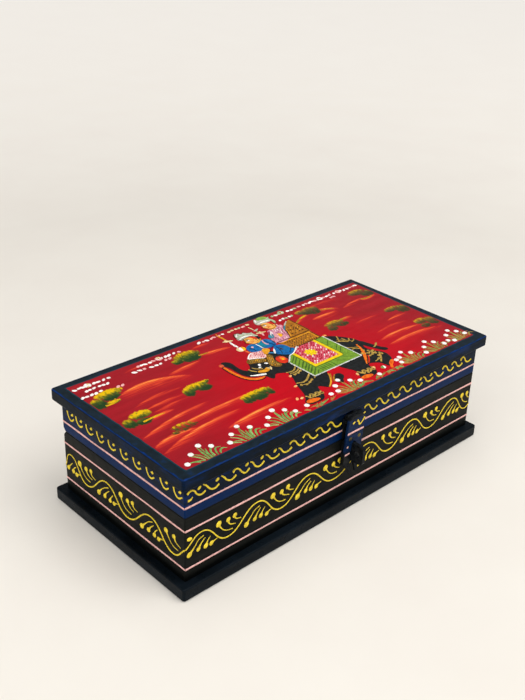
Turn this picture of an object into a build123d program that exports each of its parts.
from build123d import *
import os
from math import asin, cos, degrees, radians, sin, tan

# A painted wooden storage box with a hinged lid, a moulded-look base board and an iron hasp at the front.
# Sizes are in millimetres. X runs along the box, -Y is the front, Z is up.
# The origin is the middle of the base board's underside.

# Boards
body_length = 245.8
body_depth = 112.6
wall_thickness = 8.0
wall_height = 40.6
rail_height = 20.4
top_thickness = 7.3
top_overhang = 4.1
base_thickness = 8.0
base_overhang = 5.1
corner_lap = 4.0
board_round = 0.9
board_corner_round = 1.6
body_corner_round = 0.8
seam_round = 0.5

# Bevelled back edges of the seam, which meet and stop the lid when it is open
bevel_depth = 2.6
bevel_angle = 50.0

# Velvet lining
lining_thickness = 1.0
lining_round = 0.4
lining_drop = 0.8
pad_thickness = 2.6
pad_round = 1.0
lining_gap = 0.3

# Lid hinges
hinge_end_inset = 44.9
hinge_width = 25.0
hinge_leaf_thickness = 0.8
hinge_leaf_margin = 0.4
hinge_knuckle_radius = 1.6
hinge_pin_radius = 0.8
hinge_screw_spacing = 15.0
knuckle_gap = 0.25
pin_play = 0.03
turning_gap = 0.3
mortise_play = 0.15

# Hasp: a strap on its own small hinge, hung from the lid's front rail
hasp_axis_drop = 4.0
hasp_axis_standoff = 2.7
hasp_knuckle_radius = 1.5
hasp_pin_radius = 0.7
hasp_leaf_width = 12.0
hasp_leaf_thickness = 0.9
hasp_leaf_above_seam = 1.6
hasp_middle_knuckle = 4.2
strap_width = 14.4
strap_thickness = 1.4
strap_rise = 1.6
strap_corner_cut = 3.2
strap_toe_length = 7.2
strap_toe_angle = 20.0
strap_tip_width = 0.5
strap_edge_round = 0.35
strap_gap = 0.45
slot_above_eye = 1.3
shoulder_below_eye = 1.0
slot_rim = 0.8
rivet_spacing = 7.4
rivet_edge = 1.8

# Staple on the front wall: a plate with a standing eye for a padlock
staple_plate_width = 11.0
staple_plate_height = 16.6
staple_plate_thickness = 1.1
staple_plate_drop = 1.2
staple_plate_round = 1.2
eye_thickness = 2.4
eye_height = 12.4
eye_drop = 1.9
eye_reach = 13.1
eye_round = 2.6
eye_hole_radius = 2.0
eye_hole_standoff = 8.6
eye_hole_drop = 8.3
eye_tang_height = 6.0
eye_tang_length = 6.2
eye_play = 0.1
slot_play = 0.5

# Fasteners
nail_head_radius = 1.35
nail_head_height = 0.9
nail_shank_radius = 0.6
nail_length = 5.5
nail_spacing = 7.2
leaf_nail_top_edge = 2.8
leaf_nail_bottom_edge = 3.8
staple_nail_edge = 2.2
rivet_head_radius = 1.3
rivet_head_height = 0.55
rivet_shank_radius = 0.7
screw_head_radius = 1.35
screw_head_depth = 0.8
screw_shank_radius = 0.7
screw_length = 7.5
screw_slot_width = 0.35
screw_slot_depth = 0.3
base_screw_head_radius = 3.2
base_screw_head_depth = 2.4
base_screw_shank_radius = 1.6
base_screw_length = 22.0
base_screw_slot_width = 0.8
base_screw_slot_depth = 0.9
base_screw_end_inset = 36.0
brad_head_radius = 1.1
brad_head_depth = 1.0
brad_shank_radius = 0.65
brad_length = 17.0
brad_sunk = 0.8
brad_end_inset = 30.0
corner_brad_inset = 9.0
hole_play = 0.02
point_share = 0.35

# Levels and planes that follow from the sizes
body_front = -body_depth / 2
body_back = body_depth / 2
body_end = body_length / 2
wall_bottom = base_thickness
seam = wall_bottom + wall_height
rail_top = seam + rail_height
top_surface = rail_top + top_thickness
inner_end = body_end - wall_thickness
inner_front = body_front + wall_thickness
inner_back = body_back - wall_thickness
wall_middle = wall_thickness / 2
hinge_axis_y = body_back - bevel_depth
hinge_leaf_reach = wall_thickness - bevel_depth - hinge_leaf_margin
hinge_screw_inset = (hinge_knuckle_radius + hinge_leaf_reach) / 2
hasp_axis_y = body_front - hasp_axis_standoff
hasp_axis_z = rail_top - hasp_axis_drop
eye_top = seam - eye_drop
eye_bottom = eye_top - eye_height
eye_middle = (eye_top + eye_bottom) / 2
staple_plate_top = seam - staple_plate_drop
staple_plate_bottom = staple_plate_top - staple_plate_height
staple_nail_standoff = staple_plate_thickness + nail_head_height

# Places on the strap, measured down from the hasp's axis along the strap
strap_inner = hasp_knuckle_radius + turning_gap
slot_width = eye_thickness + 2 * slot_play
strap_shoulder = hasp_axis_z - eye_bottom + shoulder_below_eye
strap_slot_top = hasp_axis_z - eye_top - slot_above_eye
moving_leaf_length = strap_slot_top - slot_rim
rivet_drop = moving_leaf_length - rivet_edge
hasp_lean = degrees(asin((hasp_axis_standoff + strap_inner - staple_nail_standoff - strap_gap) / strap_shoulder))
fixed_leaf_top = hasp_axis_z - hasp_knuckle_radius - turning_gap
fixed_leaf_bottom = seam + hasp_leaf_above_seam


def block(x_range, y_range, z_range):
    """A box between two values on each axis."""
    corner = [(low + high) / 2 for low, high in (x_range, y_range, z_range)]
    size = [high - low for low, high in (x_range, y_range, z_range)]
    return Pos(*corner) * Box(*size)


def bar(radius, x_range, y, z):
    """A round bar along X."""
    low, high = x_range
    return Pos((low + high) / 2, y, z) * Rot(Y=90) * Cylinder(radius, high - low)


def stud(point, direction):
    """The place of a fastener whose head faces along direction, with its head's seat at point."""
    return Plane(origin=point, z_dir=direction).location


def spun(points):
    """A solid turned about Z from half of its outline, given as (radius, height)."""
    outline = Plane.XZ * make_face(Polyline(*points, close=True))
    return revolve(outline, Axis.Z)


def domed_nail():
    """A round-headed nail: its head stands on the seat and its shank goes down."""
    radius, height = nail_head_radius, nail_head_height
    ball = (radius**2 + height**2) / (2 * height)
    head = Pos(0, 0, height - ball) * Sphere(ball) & Pos(0, 0, height / 2) * Cylinder(radius, height)
    tip = nail_shank_radius * point_share
    straight = nail_length - 2 * nail_shank_radius
    shank = spun([(0, 0), (nail_shank_radius, 0), (nail_shank_radius, -straight), (tip, -nail_length), (0, -nail_length)])
    return head + shank


def slotted_screw(head_radius, head_depth, shank_radius, length, slot_width_, slot_depth):
    """A countersunk wood screw whose head lies flush with the seat."""
    tip = shank_radius * point_share
    straight = length - 2 * shank_radius
    outline = [
        (0, 0),
        (head_radius, 0),
        (shank_radius, -head_depth),
        (shank_radius, -straight),
        (tip, -length),
        (0, -length),
    ]
    slot = Box(2 * head_radius + 1, slot_width_, 2 * slot_depth)
    return spun(outline) - slot


def screw_hole(head_radius, head_depth, shank_radius, length):
    """The hole and countersink that such a screw fills."""
    wide, narrow = head_radius + hole_play, shank_radius + hole_play
    depth = length + hole_play
    return spun([(0, 1), (wide, 1), (wide, 0), (narrow, -head_depth), (narrow, -depth), (0, -depth)])


def hinge_screw():
    return slotted_screw(
        screw_head_radius, screw_head_depth, screw_shank_radius, screw_length, screw_slot_width, screw_slot_depth
    )


def hinge_screw_hole():
    return screw_hole(screw_head_radius, screw_head_depth, screw_shank_radius, screw_length)


def base_screw():
    return slotted_screw(
        base_screw_head_radius,
        base_screw_head_depth,
        base_screw_shank_radius,
        base_screw_length,
        base_screw_slot_width,
        base_screw_slot_depth,
    )


def base_screw_hole():
    return screw_hole(base_screw_head_radius, base_screw_head_depth, base_screw_shank_radius, base_screw_length)


def brad(play=0.0):
    """A headed brad sunk under the paint. With play it is the closed hole that the brad fills."""
    head, shank = brad_head_radius + play, brad_shank_radius + play
    top, neck, end = -brad_sunk + play, -brad_sunk - brad_head_depth, -brad_sunk - brad_length - play
    return spun([(0, top), (head, top), (head, neck), (shank, neck), (shank, end), (0, end)])


def round_hole(radius, depth):
    """A plain hole that starts above its seat and goes down to depth."""
    return Pos(0, 0, (1 - depth) / 2) * Cylinder(radius, depth + 1)


def at_each(places, shape):
    """Copies of one shape at each place."""
    return [place * shape for place in places]


def less(body, tools):
    """The body with every tool cut from it."""
    for tool in tools:
        body = body - tool
    return body


def group(solids):
    """Several separate solids kept as one node."""
    return Compound(children=list(solids))


# Places of the fasteners


def base_screw_places():
    x_long = body_end - base_screw_end_inset
    y_long = body_depth / 2 - wall_middle
    spots = [(x, y) for y in (-y_long, y_long) for x in (-x_long, 0, x_long)]
    return [stud((x, y, 0), (0, 0, -1)) for x, y in spots]


def top_brad_places():
    x_long = body_end - brad_end_inset
    x_end = body_end - wall_middle
    y_long = body_depth / 2 - wall_middle
    spots = [(x, y) for y in (-y_long, y_long) for x in (-x_long, 0, x_long)] + [(-x_end, 0), (x_end, 0)]
    return [stud((x, y, top_surface), (0, 0, 1)) for x, y in spots]


def corner_brad_places(levels):
    """Brads through the laps of the long boards into the ends of the short ones."""
    x = body_end - wall_middle
    places = []
    for level in levels:
        for side in (-1, 1):
            places.append(stud((side * x, body_front, level), (0, -1, 0)))
            places.append(stud((side * x, body_back, level), (0, 1, 0)))
    return places


def wall_brad_levels():
    return (wall_bottom + corner_brad_inset, seam - corner_brad_inset)


def rail_brad_levels():
    return ((seam + rail_top) / 2,)


def hinge_centres():
    return (hinge_end_inset - body_end, body_end - hinge_end_inset)


def hinge_screw_places(centre, up):
    """Screws of one leaf, on the leaf's free face. up is 1 for the box's leaf and -1 for the lid's."""
    y = hinge_axis_y - hinge_screw_inset
    spots = (centre - hinge_screw_spacing / 2, centre + hinge_screw_spacing / 2)
    return [stud((x, y, seam), (0, 0, up)) for x in spots]


def leaf_nail_places():
    y = body_front - hasp_leaf_thickness
    levels = (fixed_leaf_top - leaf_nail_top_edge, fixed_leaf_bottom + leaf_nail_bottom_edge)
    spots = [(x, z) for z in levels for x in (-nail_spacing / 2, nail_spacing / 2)]
    return [stud((x, y, z), (0, -1, 0)) for x, z in spots]


def staple_nail_places():
    y = body_front - staple_plate_thickness
    levels = (staple_plate_top - staple_nail_edge, staple_plate_bottom + staple_nail_edge)
    spots = [(x, z) for z in levels for x in (-nail_spacing / 2, nail_spacing / 2)]
    return [stud((x, y, z), (0, -1, 0)) for x, z in spots]


# Boards


def board(length, depth, bottom, thickness):
    """A flat board with rounded corners and arrises."""
    shape = block((-length / 2, length / 2), (-depth / 2, depth / 2), (bottom, bottom + thickness))
    shape = fillet(shape.edges().filter_by(Axis.Z), board_corner_round)
    flat_edges = shape.faces().filter_by(Axis.Z).edges()
    return fillet(flat_edges, board_round)


def frame(bottom, top):
    """The four upright boards of the body or of the lid, still as one ring."""
    outer = block((-body_end, body_end), (body_front, body_back), (bottom, top))
    outer = fillet(outer.edges().filter_by(Axis.Z), body_corner_round)
    seam_face = outer.faces().sort_by(Axis.Z)[-1 if top == seam else 0]
    outer = fillet(seam_face.edges(), seam_round)
    inner = block((-inner_end, inner_end), (inner_front, inner_back), (bottom - 1, top + 1))
    return outer - inner - back_bevel()


def back_bevel():
    """The V that is planed along the back of the seam."""
    run = bevel_depth + 1
    rise = run * tan(radians(bevel_angle))
    outline = Polyline(
        (hinge_axis_y, seam), (hinge_axis_y + run, seam + rise), (hinge_axis_y + run, seam - rise), close=True
    )
    wedge = extrude(Plane.YZ * make_face(outline), body_length + 2)
    return Pos(-body_end - 1, 0, 0) * wedge


def long_board(ring, front, bottom, top):
    """The front or back board: full length, rebated at its ends for the short boards."""
    outside = body_front if front else body_back
    inward = 1 if front else -1
    y_range = sorted((outside, outside + inward * wall_thickness))
    envelope = block((-body_end, body_end), y_range, (bottom, top))
    lap = sorted((outside + inward * corner_lap, outside + inward * (wall_thickness + 1)))
    left_rebate = block((-body_end - 1, -inner_end), lap, (bottom - 1, top + 1))
    right_rebate = block((inner_end, body_end + 1), lap, (bottom - 1, top + 1))
    return ring & (envelope - left_rebate - right_rebate)


def short_board(ring, side, bottom, top):
    """The left or right board, whose ends stand in the rebates of the long boards."""
    x_range = sorted((side * inner_end, side * body_end))
    y_range = (body_front + corner_lap, body_back - corner_lap)
    return ring & block(x_range, y_range, (bottom, top))


def hinge_mortises(up):
    """Room for the leaves and knuckles of both hinges. up is 1 in the box's wall and -1 in the lid's rail."""
    tools = []
    for centre in hinge_centres():
        half = hinge_width / 2 + mortise_play
        deep = seam - up * hinge_leaf_thickness
        x_range = (centre - half, centre + half)
        y_range = (hinge_axis_y - hinge_leaf_reach - mortise_play, hinge_axis_y)
        tools.append(block(x_range, y_range, sorted((deep, seam + up))))
        tools.append(bar(hinge_knuckle_radius + turning_gap, x_range, hinge_axis_y, seam))
        tools += at_each(hinge_screw_places(centre, up), hinge_screw_hole())
    return tools


def eye_slot():
    """The slot in the front wall that the eye's tang is driven into."""
    half = eye_thickness / 2 + hole_play
    tall = eye_tang_height / 2 + hole_play
    y_range = (body_front - 1, body_front + eye_tang_length + hole_play)
    return block((-half, half), y_range, (eye_middle - tall, eye_middle + tall))


def nail_holes(places):
    """Holes for domed nails."""
    return at_each(places, round_hole(nail_shank_radius + hole_play, nail_length + hole_play))


def box_boards():
    ring = frame(wall_bottom, seam)
    brads = at_each(corner_brad_places(wall_brad_levels()), brad(hole_play))
    screws = at_each(base_screw_places(), base_screw_hole())
    front = long_board(ring, True, wall_bottom, seam)
    back = long_board(ring, False, wall_bottom, seam)
    front_holes = nail_holes(staple_nail_places()) + [eye_slot()]
    base = board(body_length + 2 * base_overhang, body_depth + 2 * base_overhang, 0, base_thickness)
    return {
        "base_board": less(base, screws),
        "front_wall": less(front, brads + screws + front_holes),
        "back_wall": less(back, brads + screws + hinge_mortises(1)),
        "left_wall": less(short_board(ring, -1, wall_bottom, seam), brads),
        "right_wall": less(short_board(ring, 1, wall_bottom, seam), brads),
    }


def lid_boards():
    ring = frame(seam, rail_top)
    corner_brads = at_each(corner_brad_places(rail_brad_levels()), brad(hole_play))
    top_brads = at_each(top_brad_places(), brad(hole_play))
    front = long_board(ring, True, seam, rail_top)
    back = long_board(ring, False, seam, rail_top)
    leaf_holes = nail_holes(leaf_nail_places())
    top = board(body_length + 2 * top_overhang, body_depth + 2 * top_overhang, rail_top, top_thickness)
    return {
        "lid_top_board": less(top, top_brads),
        "lid_front_rail": less(front, corner_brads + top_brads + leaf_holes),
        "lid_back_rail": less(back, corner_brads + top_brads + hinge_mortises(-1)),
        "lid_left_rail": less(short_board(ring, -1, seam, rail_top), corner_brads + top_brads),
        "lid_right_rail": less(short_board(ring, 1, seam, rail_top), corner_brads + top_brads),
    }


# Lining


def lining_card(x_range, y_range, z_range):
    shape = block(x_range, y_range, z_range)
    return fillet(shape.edges(), lining_round)


def pad(x_range, y_range, z_range):
    """A thin velvet pad, flat underneath."""
    shape = block(x_range, y_range, z_range)
    shape = fillet(shape.edges().filter_by(Axis.Z), pad_round)
    return fillet(shape.faces().sort_by(Axis.Z)[-1].edges(), pad_round)


def linings():
    top = seam - lining_drop
    side_front = inner_front + lining_thickness + lining_gap
    side_back = inner_back - lining_thickness - lining_gap
    card_levels = (wall_bottom, top)
    long_x = (-inner_end + lining_gap, inner_end - lining_gap)
    pad_x = inner_end - lining_thickness - lining_gap
    lid_x = inner_end - lining_gap
    lid_y = (inner_front + lining_gap, inner_back - lining_gap)
    lid_levels = (rail_top - lining_thickness, rail_top)
    left_x = (-inner_end, -inner_end + lining_thickness)
    right_x = (inner_end - lining_thickness, inner_end)
    return {
        "front_lining": lining_card(long_x, (inner_front, inner_front + lining_thickness), card_levels),
        "back_lining": lining_card(long_x, (inner_back - lining_thickness, inner_back), card_levels),
        "left_lining": lining_card(left_x, (side_front, side_back), card_levels),
        "right_lining": lining_card(right_x, (side_front, side_back), card_levels),
        "floor_pad": pad((-pad_x, pad_x), (side_front, side_back), (wall_bottom, wall_bottom + pad_thickness)),
        "lid_lining": lining_card((-lid_x, lid_x), lid_y, lid_levels),
    }


# Lid hinges


def knuckle_ranges(width, middle):
    """The left, middle and right stretches of a three-knuckle barrel, about X = 0."""
    half, inner = width / 2, middle / 2
    outer = inner + knuckle_gap
    return (-half, -outer), (-inner, inner), (outer, half)


def hinge_leaf(centre, up):
    """One leaf of a lid hinge. The box's leaf, with up 1, has the outer knuckles and the lid's the middle one."""
    left, middle, right = knuckle_ranges(hinge_width, (hinge_width - 2 * knuckle_gap) / 3)
    own, other = ((left, right), (middle,)) if up == 1 else ((middle,), (left, right))
    half = hinge_width / 2
    levels = sorted((0, -up * hinge_leaf_thickness))
    leaf = block((-half, half), (-hinge_leaf_reach, 0), levels)
    for low, high in other:
        clear = (low - knuckle_gap, high + knuckle_gap)
        leaf = leaf - bar(hinge_knuckle_radius + turning_gap, clear, 0, 0)
    for stretch in own:
        leaf = leaf + bar(hinge_knuckle_radius, stretch, 0, 0)
    leaf = leaf - bar(hinge_pin_radius + pin_play, (-half - 1, half + 1), 0, 0)
    leaf = Pos(centre, hinge_axis_y, seam) * leaf
    return less(leaf, at_each(hinge_screw_places(centre, up), hinge_screw_hole()))


def hinge_pin(centre):
    half = hinge_width / 2
    return bar(hinge_pin_radius, (centre - half, centre + half), hinge_axis_y, seam)


def lid_hinges():
    nodes = {}
    for name, centre in zip(("left", "right"), hinge_centres()):
        nodes[f"{name}_hinge_box_leaf"] = hinge_leaf(centre, 1)
        nodes[f"{name}_hinge_lid_leaf"] = hinge_leaf(centre, -1)
        nodes[f"{name}_hinge_pin"] = hinge_pin(centre)
    return nodes


# Hasp. Its pieces are drawn about the hinge axis, with the strap hanging straight down, and then leaned in.


def hasp_place():
    return Pos(0, hasp_axis_y, hasp_axis_z) * Rot(X=hasp_lean)


def strap_side():
    """The strap's side outline: straight, then turned out at the toes."""
    inner, outer = -strap_inner, -strap_inner - strap_thickness
    turn = radians(strap_toe_angle)
    run, fall = strap_toe_length * sin(turn), strap_toe_length * cos(turn)
    mitre = strap_thickness * tan(turn / 2)
    points = [
        (inner, strap_rise),
        (inner, -strap_shoulder),
        (inner - run, -strap_shoulder - fall),
        (inner - run - strap_thickness * cos(turn), -strap_shoulder - fall + strap_thickness * sin(turn)),
        (outer, -strap_shoulder + mitre),
        (outer, strap_rise),
    ]
    return make_face(Polyline(*points, close=True))


def strap_front():
    """The strap's front outline: cut top corners, a slot open at the bottom and tapered toes."""
    half, slot = strap_width / 2, slot_width / 2
    bottom = -strap_shoulder - strap_toe_length
    right = [
        (half - strap_corner_cut, strap_rise),
        (half, strap_rise - strap_corner_cut),
        (half, -strap_shoulder),
        (slot + strap_tip_width, bottom),
    ]
    left = [(-x, z) for x, z in reversed(right)]
    outline = make_face(Polyline(*right, *left, close=True))
    slot_end = -strap_slot_top - slot
    gap = Pos(0, (slot_end + bottom - 1) / 2) * Rectangle(slot_width, slot_end - bottom + 1)
    return outline - gap - Pos(0, slot_end) * Circle(slot)


def is_strap_rim(edge):
    """Whether an edge of the strap's outer face is on its sides or top, and not on the slot or the fold."""
    spot = edge.center()
    above_fold = spot.Z > strap_thickness - strap_shoulder
    return spot.Z > 0 or (above_fold and abs(spot.X) > slot_width)


def hasp_strap():
    depth = 4 * (strap_inner + strap_thickness + strap_toe_length)
    side = extrude(Plane.YZ * strap_side(), strap_width / 2, both=True)
    front = extrude(Plane.XZ * strap_front(), depth, both=True)
    strap = side & front
    outer_face = strap.faces().filter_by(Axis.Y).sort_by(Axis.Y)[0]
    strap = chamfer([edge for edge in outer_face.edges() if is_strap_rim(edge)], strap_edge_round)
    return hasp_place() * less(strap, rivet_holes())


def rivet_centres():
    return [(-rivet_spacing / 2, -rivet_drop), (rivet_spacing / 2, -rivet_drop)]


def rivet_holes():
    hole = Rot(X=90) * Cylinder(rivet_shank_radius + hole_play, 4 * (strap_inner + strap_thickness))
    return [Pos(x, 0, z) * hole for x, z in rivet_centres()]


def hasp_rivets():
    """Domed rivets through the strap and the leaf behind it, with flat tails."""
    tail_height = rivet_head_height / 2
    leaf_back = strap_inner - hasp_leaf_thickness
    ball = (rivet_head_radius**2 + rivet_head_height**2) / (2 * rivet_head_height)
    cap = Pos(0, 0, rivet_head_height / 2) * Cylinder(rivet_head_radius, rivet_head_height)
    head = Pos(0, 0, rivet_head_height - ball) * Sphere(ball) & cap
    grip = hasp_leaf_thickness + strap_thickness
    shank = Pos(0, 0, -grip / 2) * Cylinder(rivet_shank_radius, grip)
    tail = Pos(0, 0, -grip - tail_height / 2) * Cylinder(rivet_shank_radius + 0.3, tail_height)
    rivet = head + shank + tail
    face = -leaf_back - grip
    return [hasp_place() * stud((x, face, z), (0, -1, 0)) * rivet for x, z in rivet_centres()]


def hasp_moving_leaf():
    """The hinge leaf that the strap is riveted to, with the outer knuckles."""
    left, middle, right = knuckle_ranges(hasp_leaf_width, hasp_middle_knuckle)
    half = hasp_leaf_width / 2
    y_range = (-strap_inner, -strap_inner + hasp_leaf_thickness)
    leaf = block((-half, half), y_range, (-moving_leaf_length, 0))
    clear = (middle[0] - knuckle_gap, middle[1] + knuckle_gap)
    leaf = leaf - block(clear, (-strap_inner - 1, 0), (-hasp_knuckle_radius - turning_gap, 1))
    for stretch in (left, right):
        leaf = leaf + bar(hasp_knuckle_radius, stretch, 0, 0)
    leaf = leaf - bar(hasp_pin_radius + pin_play, (-half - 1, half + 1), 0, 0)
    return hasp_place() * less(leaf, rivet_holes())


def hasp_fixed_leaf():
    """The hinge leaf that is nailed to the lid's front rail, with the middle knuckle."""
    left, middle, right = knuckle_ranges(hasp_leaf_width, hasp_middle_knuckle)
    half = hasp_leaf_width / 2
    y_range = (body_front - hasp_leaf_thickness, body_front)
    leaf = block((-half, half), y_range, (fixed_leaf_bottom, fixed_leaf_top))
    neck = block(middle, (hasp_axis_y, body_front), (fixed_leaf_top - hasp_leaf_thickness, hasp_axis_z))
    leaf = leaf + neck + bar(hasp_knuckle_radius, middle, hasp_axis_y, hasp_axis_z)
    leaf = leaf - bar(hasp_pin_radius + pin_play, (-half, half), hasp_axis_y, hasp_axis_z)
    return less(leaf, nail_holes(leaf_nail_places()))


def hasp_pin():
    half = hasp_leaf_width / 2
    return bar(hasp_pin_radius, (-half, half), hasp_axis_y, hasp_axis_z)


# Staple


def staple_plate():
    half = staple_plate_width / 2
    y_range = (body_front - staple_plate_thickness, body_front)
    plate = block((-half, half), y_range, (staple_plate_bottom, staple_plate_top))
    plate = fillet(plate.edges().filter_by(Axis.Y), staple_plate_round)
    wide = eye_thickness / 2 + eye_play
    tall = eye_tang_height / 2 + eye_play
    slot = block((-wide, wide), (body_front - 2 * staple_plate_thickness, body_front + 1), (eye_middle - tall, eye_middle + tall))
    return less(plate - slot, nail_holes(staple_nail_places()))


def staple_eye():
    half = eye_thickness / 2
    shoulder = body_front - staple_plate_thickness
    tip = body_front - eye_reach
    eye = block((-half, half), (tip, shoulder), (eye_bottom, eye_top))
    tip_edges = eye.faces().sort_by(Axis.Y)[0].edges().filter_by(Axis.X)
    eye = fillet(tip_edges, eye_round)
    tall = eye_tang_height / 2
    tang = block((-half, half), (shoulder, body_front + eye_tang_length), (eye_middle - tall, eye_middle + tall))
    reach = body_front - eye_hole_standoff
    hole = bar(eye_hole_radius, (-eye_thickness, eye_thickness), reach, seam - eye_hole_drop)
    return eye + tang - hole


def fasteners():
    hinge_screws = {1: [], -1: []}
    for up in hinge_screws:
        for centre in hinge_centres():
            hinge_screws[up] += at_each(hinge_screw_places(centre, up), hinge_screw())
    return {
        "base_screws": group(at_each(base_screw_places(), base_screw())),
        "wall_corner_brads": group(at_each(corner_brad_places(wall_brad_levels()), brad())),
        "rail_corner_brads": group(at_each(corner_brad_places(rail_brad_levels()), brad())),
        "top_board_brads": group(at_each(top_brad_places(), brad())),
        "box_hinge_screws": group(hinge_screws[1]),
        "lid_hinge_screws": group(hinge_screws[-1]),
        "hasp_leaf_nails": group(at_each(leaf_nail_places(), domed_nail())),
        "staple_nails": group(at_each(staple_nail_places(), domed_nail())),
        "hasp_rivets": group(hasp_rivets()),
    }


nodes = {
    **box_boards(),
    **lid_boards(),
    **linings(),
    **lid_hinges(),
    "hasp_strap": hasp_strap(),
    "hasp_moving_leaf": hasp_moving_leaf(),
    "hasp_fixed_leaf": hasp_fixed_leaf(),
    "hasp_pin": hasp_pin(),
    "staple_plate": staple_plate(),
    "staple_eye": staple_eye(),
    **fasteners(),
}

os.makedirs("parts", exist_ok=True)
for name, shape in nodes.items():
    export_step(shape, f"parts/{name}.step")
